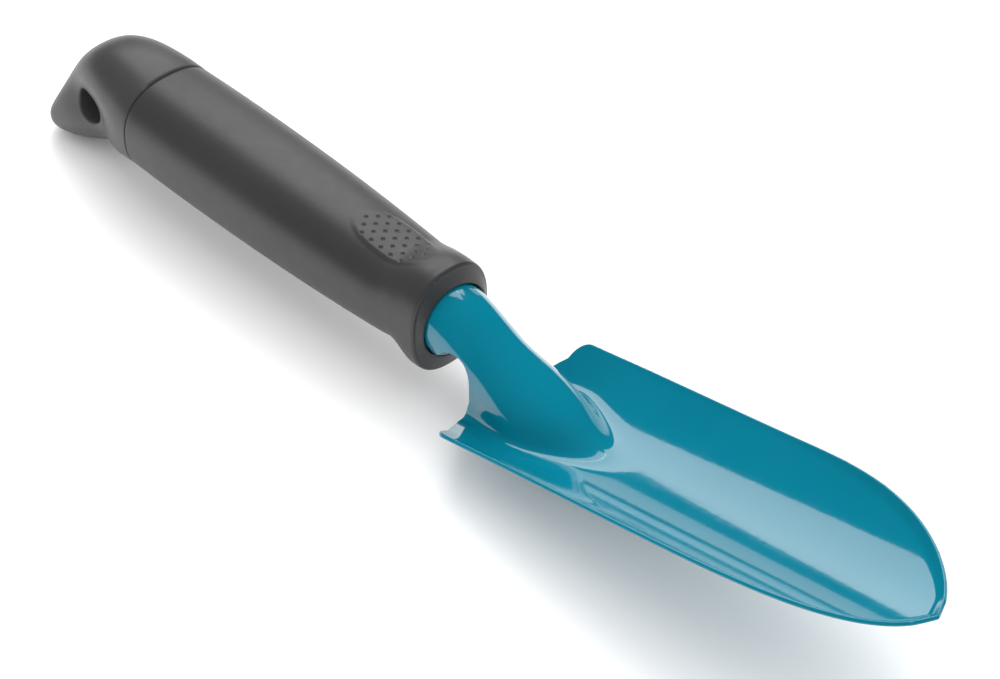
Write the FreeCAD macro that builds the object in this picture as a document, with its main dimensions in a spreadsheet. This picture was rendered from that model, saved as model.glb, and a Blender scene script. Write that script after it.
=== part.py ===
import FreeCAD, Part
import math
import os
import Sketcher
from FreeCAD import Placement, Rotation, Vector

# Hand trowel with a pressed steel blade and a moulded handle.
# Working frame: the origin is on the handle's axis at the mouth where the blade's neck comes
# out, +X runs towards the blade's tip and +Z is up when the scoop lies open side up.
# Each finished piece is then placed so that the part's own origin is the middle of the hang hole.

# ---------------------------------------------------------------- driving dimensions, millimetres

SIZES = (
    ("hole_back", 142.0, "hang hole behind the mouth"),
    ("hole_drop", 4.5, "hang hole below the handle's axis"),
    ("hole_radius", 5.2, "hang hole radius"),
    ("sheet_thick", 1.15, "steel sheet of the blade"),
    ("tube_radius", 10.28, "outside radius of the rolled neck"),
    ("tang_length", 72.0, "rolled tang hidden in the handle"),
    ("slit_half_angle", 3.0, "half of the open seam under the rolled tang, degrees"),
    ("blade_pitch", 11.85, "tip rises against the handle's axis, degrees"),
    ("heel_ahead", 27.1, "blade's heel ahead of the mouth"),
    ("heel_drop", 17.5, "blade's floor at the heel below the axis"),
    ("blade_length", 145.4, "heel to tip along the floor"),
    ("blade_half", 26.3, "half of the blade's width at the heel"),
    ("gutter_rise", 10.4, "height of the rim above the floor"),
    ("corner_round", 5.0, "rounded shoulder corners"),
    ("notch_round", 6.4, "half-width of the notch beside the neck"),
    ("seam_back", 117.9, "seam between grip and end cap, behind the mouth"),
    ("seam_gap", 0.3, "visible gap at the seam"),
    ("core_half_wide", 12.9, "half-width of the hard core"),
    ("core_half_high", 11.3, "half-height of the hard core"),
    ("core_front", 8.0, "core's front end behind the mouth"),
    ("core_inset", 1.9, "core's rear end ahead of the seam"),
    ("stop_bore", 7.0, "hole through the stop wall in the core"),
    ("stop_wall", 3.0, "wall that stops the tang"),
    ("socket_radius", 9.9, "socket at the core's rear for the cap's spigot"),
    ("spigot_radius", 9.85, "spigot of the end cap"),
    ("spigot_length", 17.0, "spigot's length from the seam"),
    ("spigot_wall", 1.8, "wall of the hollow spigot"),
    ("hollow_deep", 10.0, "spigot's hollow goes on this far behind the seam"),
    ("fit_gap", 0.05, "gap between pieces that are pressed together"),
    ("grip_round", 2.4, "exponent of the grip's cross-section, 2 is an ellipse"),
    ("grip_flatness", 0.88, "grip's height over its width"),
    ("grip_full_high", 14.5, "grip's half-height where it is fullest"),
    ("grip_seam_high", 14.25, "grip's half-height at the seam"),
    ("grip_waist_high", 12.05, "grip's half-height at the waist behind the finger stop"),
    ("lip_flare_top", 3.8, "finger stop's height above the waist, on top"),
    ("lip_flare_low", 5.6, "finger stop's height below the waist, underneath"),
    ("pad_raise", 0.12, "height of the thumb pad on its middle line"),
    ("pad_flatness", 0.38, "part of the grip's roundness that the thumb pad takes away"),
    ("dimple_side", 1.1, "side of a diamond dimple in the thumb pad"),
    ("dimple_deep", 0.4, "depth of a dimple"),
    ("dimple_pitch", 2.5, "distance between lines of dimples across the pad"),
    ("dimple_row_pitch", 3.85, "distance between dimples along one line"),
)

doc = FreeCAD.newDocument("hand_trowel")
sheet = doc.addObject("Spreadsheet::Sheet", "sizes")
for row, (alias, value, note) in enumerate(SIZES, start=1):
    sheet.set("A%d" % row, note)
    sheet.set("B%d" % row, str(value))
    sheet.setAlias("B%d" % row, alias)
doc.recompute()


def size(alias):
    """The number in the sheet's cell of this name."""
    return float(sheet.get(alias))


THICK = size("sheet_thick")
TUBE = size("tube_radius")
PITCH = math.radians(size("blade_pitch"))
HEEL_X = size("heel_ahead")
HEEL_Z = -size("heel_drop")
BLADE_LENGTH = size("blade_length")
BLADE_HALF = size("blade_half")
MOUTH_TO_HOLE = Vector(size("hole_back"), 0.0, size("hole_drop"))


# ---------------------------------------------------------------- shape of the pressed sheet

def soft_bend(x, start, softness):
    """A line that is level before start and climbs one to one after it, with a soft corner."""
    largest_power = 60.0
    return softness * math.log1p(math.exp(min((x - start) / softness, largest_power)))


# The neck's top is level in the handle, then bends down, flattens along the ridge and dips at its
# nose: each bend has its place, its softness and its change of slope.
CREST_IN_HANDLE = 10.05
CREST_BENDS = ((5.0, 3.0, -0.5), (22.0, 4.0, 0.235), (48.0, 4.0, -0.3))


def crest(x):
    """Height of the top of the neck and of the ridge that carries it into the scoop."""
    height = CREST_IN_HANDLE
    for start, softness, slope in CREST_BENDS:
        height += slope * soft_bend(x, start, softness)
    return height


def crest_slope(x):
    """Slope of the crest, from two stations close together."""
    step = 0.01
    return (crest(x + step) - crest(x - step)) / (2.0 * step)


def floor_height(x):
    """Bottom line of the scoop."""
    return HEEL_Z + (x - HEEL_X) * math.tan(PITCH)


GUTTER_POWER = 2.23
GUTTER_HALF = 28.1


def gutter_rise(y):
    """How far the scoop has risen above its bottom line at distance y from the middle."""
    return size("gutter_rise") * (abs(y) / GUTTER_HALF) ** GUTTER_POWER


def gutter(x, y):
    """Height of the scoop's inside before the ridge is pressed into it."""
    return floor_height(x) + gutter_rise(y) / math.cos(PITCH)


def smooth_step(u):
    """Goes from 0 to 1 with level ends as u goes from 0 to 1."""
    u = min(max(u, 0.0), 1.0)
    return u * u * (3.0 - 2.0 * u)


RIDGE_END = 70.0
RIDGE_WIDENS = 1.6
WIDER_FROM = 18.0
WIDER_AT = 33.0
RIDGE_NARROWS = 4.0
NARROWER_FROM = 35.0
NARROWER_AT = 60.0


def ridge_half_width(x):
    """As wide as the tube at the neck, a little wider ahead of it, narrower at the nose."""
    wider = RIDGE_WIDENS * smooth_step((x - WIDER_FROM) / (WIDER_AT - WIDER_FROM))
    narrower = RIDGE_NARROWS * smooth_step((x - NARROWER_FROM) / (NARROWER_AT - NARROWER_FROM))
    return TUBE + wider - narrower


def soft_min(a, b, reach):
    """The smaller of a and b, with a rounded inside corner of the given reach."""
    near = max(reach - abs(a - b), 0.0) / reach
    return min(a, b) - near ** 3 * reach / 6.0


def ridge_half_height(x):
    """The ridge is round square to its crest, so it is taller where the crest slopes."""
    return TUBE * math.hypot(1.0, crest_slope(x))


FILLET_REACH = 7.0


class Section:
    """The sheet's upper side in the plane x = constant: ridge and gutter with a fillet between."""

    def __init__(self, x):
        self.x = x
        self.half_wide = ridge_half_width(x)
        self.half_high = ridge_half_height(x)
        self.centre = crest(x) - self.half_high
        self.has_ridge = x < RIDGE_END
        self.floor = floor_height(x)

    def outside(self, y, z):
        """Negative under the sheet's upper side, positive above it, roughly in millimetres."""
        run = gutter_rise(y) * GUTTER_POWER / max(y, 0.01)
        from_gutter = (z - self.floor - gutter_rise(y) / math.cos(PITCH)) / math.hypot(1.0, run)
        if not self.has_ridge:
            return from_gutter
        scale = min(self.half_wide, self.half_high)
        if z > self.centre:
            ratio = math.hypot(y / self.half_wide, (z - self.centre) / self.half_high)
            from_ridge = (ratio - 1.0) * scale
        else:
            from_ridge = (y / self.half_wide - 1.0) * scale
        return soft_min(from_ridge, from_gutter, FILLET_REACH)

    def dense_points(self, half_width, count):
        """Points on the upper side from the middle outwards, found along rays from below."""
        eye = self.floor - 20.0
        farthest, halvings = 80.0, 28
        last = math.atan2(half_width, gutter(self.x, half_width) - eye)
        points = []
        for step in range(count + 1):
            angle = last * step / count
            low, high = 0.0, farthest
            for _ in range(halvings):
                middle = 0.5 * (low + high)
                if self.outside(middle * math.sin(angle), eye + middle * math.cos(angle)) < 0.0:
                    low = middle
                else:
                    high = middle
            points.append((low * math.sin(angle), eye + low * math.cos(angle)))
        return points

    def even_points(self, half_width, count):
        """The same curve with points at equal distances along it."""
        dense = self.dense_points(half_width, 4 * count)
        lengths = [0.0]
        for (y0, z0), (y1, z1) in zip(dense, dense[1:]):
            lengths.append(lengths[-1] + math.hypot(y1 - y0, z1 - z0))
        even = []
        at = 0
        for step in range(count + 1):
            wanted = lengths[-1] * step / count
            while at < len(lengths) - 2 and lengths[at + 1] < wanted:
                at += 1
            part = (wanted - lengths[at]) / (lengths[at + 1] - lengths[at])
            even.append(tuple(p + part * (q - p) for p, q in zip(dense[at], dense[at + 1])))
        return even


# ---------------------------------------------------------------- solids from grids of points

def normals_of(grid):
    """Unit normals of a grid of points, pointing to the sheet's upper side."""
    rows, columns = len(grid), len(grid[0])
    normals = []
    for i in range(rows):
        line = []
        for j in range(columns):
            along = grid[min(i + 1, rows - 1)][j] - grid[max(i - 1, 0)][j]
            across = grid[i][min(j + 1, columns - 1)] - grid[i][max(j - 1, 0)]
            line.append(along.cross(across).normalize())
        normals.append(line)
    return normals


def surface_through(grid):
    surface = Part.BSplineSurface()
    surface.interpolate(grid)
    return surface


def boundary_edges(surface):
    u0, u1, v0, v1 = surface.bounds()
    curves = (surface.uIso(u0), surface.uIso(u1), surface.vIso(v0), surface.vIso(v1))
    return [curve.toShape() for curve in curves]


def solid_of(faces):
    shell = Part.makeShell(faces)
    shell.sewShape()
    solid = Part.makeSolid(shell)
    if solid.Volume < 0.0:
        solid.reverse()
    return solid


def sheet_solid(grid, thickness):
    """A solid sheet whose upper side passes through the grid."""
    normals = normals_of(grid)
    under = [[p - n * thickness for p, n in zip(line, up)] for line, up in zip(grid, normals)]
    upper, lower = surface_through(grid), surface_through(under)
    faces = [upper.toShape(), lower.toShape()]
    for edge_up, edge_low in zip(boundary_edges(upper), boundary_edges(lower)):
        faces.append(Part.makeRuledSurface(edge_up, edge_low))
    return solid_of(faces)


def rod_solid(sections):
    """A solid through closed sections, each a list of points whose last point is its first."""
    skin = surface_through(sections)
    first, last = boundary_edges(skin)[:2]
    ends = [Part.Face(Part.Wire([edge])) for edge in (first, last)]
    return solid_of([skin.toShape()] + ends)


# ---------------------------------------------------------------- blade

def spaced(first, last, count, growth=1.0):
    """Stations from first to last whose spacing grows steadily."""
    return [first + (last - first) * (step / count) ** growth for step in range(count + 1)]


def sheet_blank():
    """Scoop and ridge as one sheet, wider and longer than the finished outline."""
    spare = 2.0
    past_tip = HEEL_X + (BLADE_LENGTH + spare + 1.0) * math.cos(PITCH)
    grid = []
    for x in spaced(-8.0, past_tip, 60, 1.35):
        half = Section(x).even_points(BLADE_HALF + spare, 36)
        right = [Vector(x, -y, z) for y, z in reversed(half[1:])]
        left = [Vector(x, y, z) for y, z in half]
        grid.append(right + left)
    return sheet_solid(grid, THICK)


OGIVE_START = 76.4
OGIVE_IN = 0.1
OGIVE_POWER = 0.69


def ogive_point(part):
    """Point of the outline's front curve, from its start at 0 to the point of the blade at 1."""
    along = OGIVE_START + (BLADE_LENGTH - OGIVE_START) * part
    return Vector(along, (BLADE_HALF - OGIVE_IN) * (1.0 - part ** 3) ** OGIVE_POWER, 0.0)


def outline_prism():
    """Everything inside the blade's outline, as a prism square to the blade's floor."""
    radius = size("corner_round")
    neck_half = 11.6
    corner = Vector(1.0, BLADE_HALF - radius, 0.0)
    rear = corner.x - radius
    edge_reach, edge_sweep, edge_power = 9.0, 6.3, 0.85
    rear_steps, front_steps = 6, 16
    curve = []
    for step in range(rear_steps + 1):
        part = step / rear_steps
        swept = edge_sweep * part ** edge_power
        curve.append(Vector(rear - swept, corner.y - edge_reach * part, 0.0))
    ogive = []
    straight_from = 0.965
    for step in range(front_steps + 1):
        quarter_turn = 0.5 * math.pi * step / front_steps
        ogive.append(ogive_point(straight_from * math.sin(quarter_turn)))
    nose_round = 0.4
    point = Vector(BLADE_LENGTH + nose_round, 0.0, 0.0)
    behind_neck = Vector(-60.0, neck_half, 0.0)
    neck_corner = Vector(curve[-1].x, neck_half, 0.0)
    side_start = Vector(corner.x, BLADE_HALF, 0.0)
    slant = Vector(corner.x - radius * math.sqrt(0.5), corner.y + radius * math.sqrt(0.5), 0.0)
    rear_curve = Part.BSplineCurve()
    rear_curve.interpolate(curve)
    front_curve = Part.BSplineCurve()
    front_curve.interpolate(ogive)
    half = [
        Part.makeLine(behind_neck, neck_corner),
        Part.makeLine(neck_corner, curve[-1]),
        rear_curve.toShape(),
        Part.Arc(curve[0], slant, side_start).toShape(),
        Part.makeLine(side_start, ogive[0]),
        front_curve.toShape(),
        Part.makeLine(ogive[-1], point),
    ]
    other = [edge.mirror(Vector(0, 0, 0), Vector(0, 1, 0)) for edge in half]
    closing = Part.makeLine(behind_neck, Vector(behind_neck.x, -neck_half, 0.0))
    edges = Part.__sortEdges__(half + other + [closing])
    below, height = 40.0, 100.0
    prism = Part.Face(Part.Wire(edges)).extrude(Vector(0.0, 0.0, height))
    prism.translate(Vector(0.0, 0.0, -below))
    tilt = Rotation(Vector(0, 1, 0), -math.degrees(PITCH))
    prism.Placement = Placement(Vector(HEEL_X, 0.0, HEEL_Z), tilt).multiply(prism.Placement)
    return prism


NOTCH_X = 11.4
NOTCH_TOP = -7.4
NOTCH_LOW = -12.0
NOTCH_BACK = Vector(8.2, 0.0, -10.5)
CUT_HALF_WIDE = 60.0


def arc_edge(centre_z, from_angle, to_angle):
    """Part of the notch's rounded end, in the plane y = 0."""
    radius = size("notch_round")
    points = []
    for angle in (from_angle, 0.5 * (from_angle + to_angle), to_angle):
        turn = math.radians(angle)
        x = NOTCH_X + radius * math.cos(turn)
        points.append(Vector(x, 0.0, centre_z + radius * math.sin(turn)))
    return Part.Arc(*points).toShape()


def sideways_prism(edges):
    """A prism right through the part from a closed outline in the plane y = 0."""
    face = Part.Face(Part.Wire(Part.__sortEdges__(edges)))
    prism = face.extrude(Vector(0.0, 2.0 * CUT_HALF_WIDE, 0.0))
    prism.translate(Vector(0.0, -CUT_HALF_WIDE, 0.0))
    return prism


def notch_prism():
    """The rounded notch that opens the sheet on both sides of the neck."""
    radius = size("notch_round")
    right, left = NOTCH_X + radius, NOTCH_X - radius
    return sideways_prism([
        arc_edge(NOTCH_TOP, 0.0, 180.0),
        Part.makeLine(Vector(left, 0, NOTCH_TOP), Vector(left, 0, NOTCH_LOW)),
        arc_edge(NOTCH_LOW, 180.0, 360.0),
        Part.makeLine(Vector(right, 0, NOTCH_LOW), Vector(right, 0, NOTCH_TOP)),
    ])


def notch_back():
    """The notch reaches further back under the neck."""
    axis_start = NOTCH_BACK - Vector(0.0, CUT_HALF_WIDE, 0.0)
    long = 2.0 * CUT_HALF_WIDE
    return Part.makeCylinder(size("notch_round"), long, axis_start, Vector(0.0, 1.0, 0.0))


def equator(x):
    """Mid-height of the neck's tube."""
    return crest(x) - TUBE * math.hypot(1.0, crest_slope(x))


def under_neck_prism():
    """All of the blank that lies behind the notch and under the tube's mid-height."""
    lap = 0.3
    top = [Vector(x, 0.0, equator(x) - lap) for x in (-12.0, -6.0, 0.0, 3.0, 5.5, 7.6)]
    ledge, low = -14.0, -60.0
    ledge_long = 5.9
    front = NOTCH_X + ledge_long
    corners = top + [Vector(NOTCH_X, 0, NOTCH_TOP), Vector(NOTCH_X, 0, ledge),
                     Vector(front, 0, ledge), Vector(front, 0, low), Vector(top[0].x, 0, low)]
    edges = [Part.makeLine(p, q) for p, q in zip(corners, corners[1:] + corners[:1])]
    return sideways_prism(edges)


def tube_section(x, radius, first_angle, last_angle, count):
    """Points round the neck's tube at one station; angle 0 is at the top."""
    tall = math.hypot(1.0, crest_slope(x))
    centre = crest(x) - TUBE * tall
    points = []
    for step in range(count + 1):
        angle = math.radians(first_angle + (last_angle - first_angle) * step / count)
        points.append(Vector(x, radius * math.sin(angle), centre + radius * tall * math.cos(angle)))
    return points


def tang():
    """The rolled tube that runs from the neck back into the handle, seam at the bottom."""
    lap = 0.1
    end_angle = 180.0 - size("slit_half_angle")
    stations = spaced(-size("tang_length"), -16.0, 7) + spaced(-10.0, 9.0, 12)
    grid = [tube_section(x, TUBE - lap, -end_angle, end_angle, 48) for x in stations]
    return sheet_solid(grid, THICK - 2.0 * lap)


def blade_shape():
    """Pressed scoop and rolled tang as one piece of steel."""
    notch = [notch_prism(), notch_back()]
    blank = sheet_blank().common(outline_prism())
    pressed = blank.cut(notch + [under_neck_prism()])
    rolled = tang().cut(notch)
    return pressed.fuse(rolled)


# ---------------------------------------------------------------- handle

SEAM = -size("seam_back")
GAP = size("fit_gap")


def rounded_section(x_top, z_top, x_low, z_low, half_wide, power, count=48):
    """A closed rounded section between a top point and a bottom point of the side view."""
    middle_x, middle_z = 0.5 * (x_top + x_low), 0.5 * (z_top + z_low)
    up_x, up_z = x_top - middle_x, z_top - middle_z
    points = []
    for step in range(count):
        angle = 2.0 * math.pi * step / count
        across = math.copysign(abs(math.cos(angle)) ** (2.0 / power), math.cos(angle))
        up = math.copysign(abs(math.sin(angle)) ** (2.0 / power), math.sin(angle))
        points.append(Vector(middle_x + up * up_x, half_wide * across, middle_z + up * up_z))
    return points + points[:1]


GRIP_FULLEST = -96.0
GRIP_FULL_HIGH = size("grip_full_high")
GRIP_SEAM_HIGH = size("grip_seam_high")
GRIP_WAIST = -11.0
GRIP_WAIST_HIGH = size("grip_waist_high")


def grip_half_height(x):
    """The grip swells behind the waist and draws in a little at the seam."""
    if x < GRIP_FULLEST:
        to_seam = (GRIP_FULLEST - x) / (GRIP_FULLEST - SEAM)
        return GRIP_FULL_HIGH - (GRIP_FULL_HIGH - GRIP_SEAM_HIGH) * to_seam ** 2
    to_waist = (x - GRIP_FULLEST) / (GRIP_WAIST - GRIP_FULLEST)
    return GRIP_FULL_HIGH - (GRIP_FULL_HIGH - GRIP_WAIST_HIGH) * to_waist ** 2.2


LIP_EDGE = -1.3
LIP_ROUND = 1.1
LAST_WAIST = -8.0


def top_flare(x):
    """The finger stop's rise above the waist, on top."""
    start, long = -18.0, 14.5
    return size("lip_flare_top") * smooth_step((x - start) / long)


def low_flare(x):
    """The finger stop's depth below the waist, underneath; it starts nearer to the mouth."""
    start, long = -12.0, 8.5
    return size("lip_flare_low") * smooth_step((x - start) / long)


def grip_section(x):
    """Outside of the grip at one station, from the seam to the rounded edge of the lip."""
    past_edge = max(x - LIP_EDGE, 0.0)
    inset = LIP_ROUND - math.sqrt(max(LIP_ROUND ** 2 - past_edge ** 2, 0.0))
    high = grip_half_height(x) - inset
    wide = grip_half_height(min(x, LAST_WAIST)) / size("grip_flatness") - inset
    top, low = high + top_flare(x), -high - low_flare(x)
    return rounded_section(x, top, x, low, wide, size("grip_round"))


def grip_outside():
    """Grip and lip; the front face runs in towards the neck in shrinking sections."""
    lip_steps, nearly_all = 5, 0.98
    stations = spaced(SEAM + size("seam_gap"), -13.0, 11) + spaced(-11.5, LIP_EDGE, 9)
    for step in range(1, lip_steps + 1):
        quarter_turn = 0.5 * math.pi * step / lip_steps
        stations.append(LIP_EDGE + nearly_all * LIP_ROUND * math.sin(quarter_turn))
    sections = [grip_section(x) for x in stations]
    face_top, face_low, face_wide, face_deep = 14.3, 16.1, 12.7, 1.6
    draw_high, draw_wide = 4.2, 1.7
    for part in spaced(0.16, 1.0, 6):
        x = stations[-1] + face_deep * part
        top, low = face_top - draw_high * part, draw_high * part - face_low
        wide = face_wide - draw_wide * part
        sections.append(rounded_section(x, top, x, low, wide, size("grip_round")))
    return rod_solid(sections)


PAD_MIDDLE = -22.0
PAD_HALF_LONG = 16.5
PAD_HALF_WIDE = 7.4


def pad_area():
    """Upright prism over the oval thumb pad, whose ends are a little blunter than an ellipse's."""
    count, bluntness = 40, 0.87
    low, high = 5.0, 20.0
    points = []
    for step in range(count):
        angle = 2.0 * math.pi * step / count
        along = math.copysign(abs(math.cos(angle)) ** bluntness, math.cos(angle))
        x, y = PAD_MIDDLE + PAD_HALF_LONG * along, PAD_HALF_WIDE * math.sin(angle)
        points.append(Vector(x, y, low))
    oval = Part.BSplineCurve()
    oval.interpolate(points, PeriodicFlag=True)
    return Part.Face(Part.Wire([oval.toShape()])).extrude(Vector(0.0, 0.0, high))


def pad_height(top, z):
    """Height of the flattened pad where the grip's own surface is at height z."""
    fades_in, fully_in = 0.4, 0.7
    on_top = smooth_step((z / top - fades_in) / (fully_in - fades_in))
    return z + on_top * (size("pad_raise") + size("pad_flatness") * (top - z))


def raised_pad():
    """The grip's own sections with a flatter top, kept inside the pad's oval."""
    sections = []
    for x in spaced(-42.0, -18.0, 4) + spaced(-16.0, -3.6, 8):
        section = grip_section(x)
        top = max(point.z for point in section)
        sections.append([Vector(p.x, p.y, pad_height(top, p.z)) for p in section])
    return rod_solid(sections).common(pad_area())


def grip_top(x, y):
    """Height of the thumb pad at a place beside the centre line."""
    power = size("grip_round")
    top = grip_half_height(x) + top_flare(x)
    wide = grip_half_height(x) / size("grip_flatness")
    return pad_height(top, top * (1.0 - abs(y / wide) ** power) ** (1.0 / power))


def dimples():
    """Staggered diamond pits over the thumb pad."""
    side, pitch, row_pitch = size("dimple_side"), size("dimple_pitch"), size("dimple_row_pitch")
    reach_long, reach_wide = PAD_HALF_LONG - 3.6, PAD_HALF_WIDE - 0.5
    tall = 4.0
    pits = []
    for column in range(-2, 3):
        for row in range(-4, 4):
            across = column * pitch
            along = (row + 0.5 * (column % 2)) * row_pitch
            if math.hypot(along / reach_long, across / reach_wide) > 1.0:
                continue
            floor = grip_top(PAD_MIDDLE + along, across) - size("dimple_deep")
            pit = Part.makeBox(side, side, tall, Vector(-0.5 * side, -0.5 * side, 0.0))
            pit.rotate(Vector(0, 0, 0), Vector(0, 0, 1), 45.0)
            pit.translate(Vector(PAD_MIDDLE + along, across, floor))
            pits.append(pit)
    return pits


def neck_opening():
    """The space that the rolled neck takes through the grip's front."""
    clearance = 0.15
    stations = spaced(-30.0, -9.0, 4) + spaced(-7.0, 6.0, 9)
    return rod_solid([tube_section(x, TUBE + clearance, 0.0, 360.0, 48) for x in stations])


def core_space():
    """Elliptic space for the hard core, open to the rear."""
    wide = size("core_half_wide") + GAP
    high = size("core_half_high") + GAP
    ellipse = Part.Ellipse(Vector(0, 0, 0), wide, high).toShape()
    face = Part.Face(Part.Wire([ellipse]))
    # a third of a turn about this diagonal takes X to Y, Y to Z and Z to X
    face.rotate(Vector(0, 0, 0), Vector(1, 1, 1), 120.0)
    rear, front = SEAM - 1.0, GAP - size("core_front")
    face.translate(Vector(rear, 0.0, 0.0))
    return face.extrude(Vector(front - rear, 0.0, 0.0))


def sleeve_shape():
    """Soft outer grip with its thumb pad, hollow for the core and open for the neck."""
    body = grip_outside().fuse(raised_pad())
    return body.cut([core_space(), neck_opening()] + dimples())


def cap_outline(points):
    """A smooth curve of the cap's side view through points spread from the seam to the tail."""
    spread = [0.0, 0.3, 0.6, 0.85, 1.0]
    curve = Part.BSplineCurve()
    curve.interpolate(Points=[Vector(x, 0.0, z) for x, z in points], Parameters=spread)
    return curve


CAP_TAIL = (-165.4, -19.9)
CAP_TOP = cap_outline((
    (SEAM, GRIP_SEAM_HIGH), (-129.0, 15.6), (-147.5, 9.8), (-159.7, -8.5), CAP_TAIL))
CAP_UNDER = cap_outline((
    (SEAM, -GRIP_SEAM_HIGH), (-130.5, -16.1), (-138.0, -17.2), (-156.5, -23.9), CAP_TAIL))


def cap_half_width(part):
    """Half-width from the seam to the tail, closed by a round end."""
    narrowing, narrow_from = 4.3, 0.95
    blunt = 0.85
    wide = GRIP_SEAM_HIGH / size("grip_flatness") - narrowing * smooth_step(part / narrow_from)
    if part > blunt:
        wide *= math.sqrt(max(1.0 - ((part - blunt) / (1.0 - blunt)) ** 2, 0.0))
    return wide


def dish(point):
    """Draws the cap's sides in round the hang hole."""
    deep, reach_x, reach_z, above_hole = 0.28, 11.5, 7.6, 0.8
    along = (point.x + size("hole_back")) / reach_x
    up = (point.z + size("hole_drop") - above_hole) / reach_z
    near = math.exp(-along ** 2 - up ** 2)
    return Vector(point.x, point.y * (1.0 - deep * near), point.z)


def cap_outside():
    """Cap's skin from the seam to just short of the tail, where the last section is tiny."""
    steps, nearly_tail = 16, 0.9985
    sections = []
    for step in range(steps + 1):
        part = min(math.sin(0.5 * math.pi * step / steps), nearly_tail)
        top, low = CAP_TOP.value(part), CAP_UNDER.value(part)
        ring = rounded_section(top.x, top.z, low.x, low.z, cap_half_width(part), size("grip_round"))
        sections.append([dish(point) for point in ring])
    return rod_solid(sections)


# ---------------------------------------------------------------- document objects

def add_feature(name, shape):
    feature = doc.addObject("Part::Feature", name)
    feature.Shape = shape
    return feature


def add_cylinder(name, radius, height, placement):
    cylinder = doc.addObject("Part::Cylinder", name)
    cylinder.setExpression("Radius", radius)
    cylinder.setExpression("Height", height)
    cylinder.Placement = placement
    return cylinder


def finish(piece, label):
    """Name the piece and move it so that the hang hole's middle is the origin."""
    piece.Label = label
    piece.Placement = Placement(MOUTH_TO_HOLE, Rotation())
    return piece


def origin_plane(body, role):
    for feature in body.Origin.OriginFeatures:
        if feature.Role == role:
            return feature


def core_sketch(body, name, station):
    """A sketch across the core's axis, its own X along the part's Y, at a station of the axis."""
    sketch = body.newObject("Sketcher::SketchObject", name)
    sketch.AttachmentSupport = (origin_plane(body, "YZ_Plane"), [""])
    sketch.MapMode = "FlatFace"
    sketch.setExpression("AttachmentOffset.Base.z", station)
    return sketch


def add_circle(sketch, radius):
    """A centred circle; it is drawn at some size first and then bound to the given one."""
    drawn = size("stop_bore")
    circle = sketch.addGeometry(Part.Circle(Vector(0, 0, 0), Vector(0, 0, 1), drawn), False)
    constraint = sketch.addConstraint(Sketcher.Constraint("Radius", circle, drawn))
    sketch.addConstraint(Sketcher.Constraint("Coincident", circle, 3, -1, 1))
    sketch.setExpression("Constraints[%d]" % constraint, radius)


def add_ellipse(sketch, half_wide, half_high):
    """A centred ellipse held by the distances of its two outermost points."""
    wide, high = size("core_half_wide"), size("core_half_high")
    ellipse = sketch.addGeometry(Part.Ellipse(Vector(0, 0, 0), wide, high), False)
    sketch.exposeInternalGeometry(ellipse)
    major, minor = ellipse + 1, ellipse + 2
    sketch.addConstraint(Sketcher.Constraint("Coincident", ellipse, 3, -1, 1))
    sketch.addConstraint(Sketcher.Constraint("Horizontal", major))
    across = sketch.addConstraint(Sketcher.Constraint("Distance", major, 2.0 * wide))
    upright = sketch.addConstraint(Sketcher.Constraint("Distance", minor, 2.0 * high))
    sketch.setExpression("Constraints[%d]" % across, "2 * " + half_wide)
    sketch.setExpression("Constraints[%d]" % upright, "2 * " + half_high)


LEAST_CUT = 1.0


def build_core():
    """Hard inner tube: elliptic outside, round bore for the tang, stop wall and rear socket."""
    body = doc.addObject("PartDesign::Body", "core_body")
    rear = "-(sizes.seam_back - sizes.core_inset)"

    outline = core_sketch(body, "core_outline", rear)
    add_ellipse(outline, "sizes.core_half_wide", "sizes.core_half_high")
    doc.recompute()
    tube = body.newObject("PartDesign::Pad", "core_tube")
    tube.Profile = outline
    tube.setExpression("Length", "sizes.seam_back - sizes.core_inset - sizes.core_front")
    doc.recompute()

    bore = core_sketch(body, "tang_bore_circle", "-sizes.core_front")
    add_circle(bore, "sizes.tube_radius + sizes.fit_gap")
    doc.recompute()
    before = body.Shape.Volume
    tang_bore = body.newObject("PartDesign::Pocket", "tang_bore")
    tang_bore.Profile = bore
    tang_bore.setExpression("Length", "sizes.tang_length + sizes.fit_gap - sizes.core_front")
    doc.recompute()
    assert body.Shape.Volume < before - LEAST_CUT

    socket = core_sketch(body, "socket_circle", rear)
    add_circle(socket, "sizes.socket_radius")
    doc.recompute()
    before = body.Shape.Volume
    rear_socket = body.newObject("PartDesign::Pocket", "rear_socket")
    rear_socket.Profile = socket
    rear_socket.Reversed = True
    rear_socket.setExpression(
        "Length", "sizes.seam_back - sizes.core_inset - sizes.tang_length - sizes.stop_wall")
    doc.recompute()
    assert body.Shape.Volume < before - LEAST_CUT

    through = core_sketch(body, "stop_circle", "-sizes.core_front")
    add_circle(through, "sizes.stop_bore")
    doc.recompute()
    before = body.Shape.Volume
    stop_bore = body.newObject("PartDesign::Pocket", "stop_bore")
    stop_bore.Profile = through
    stop_bore.Type = "ThroughAll"
    doc.recompute()
    assert body.Shape.Volume < before - LEAST_CUT
    return body


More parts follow.
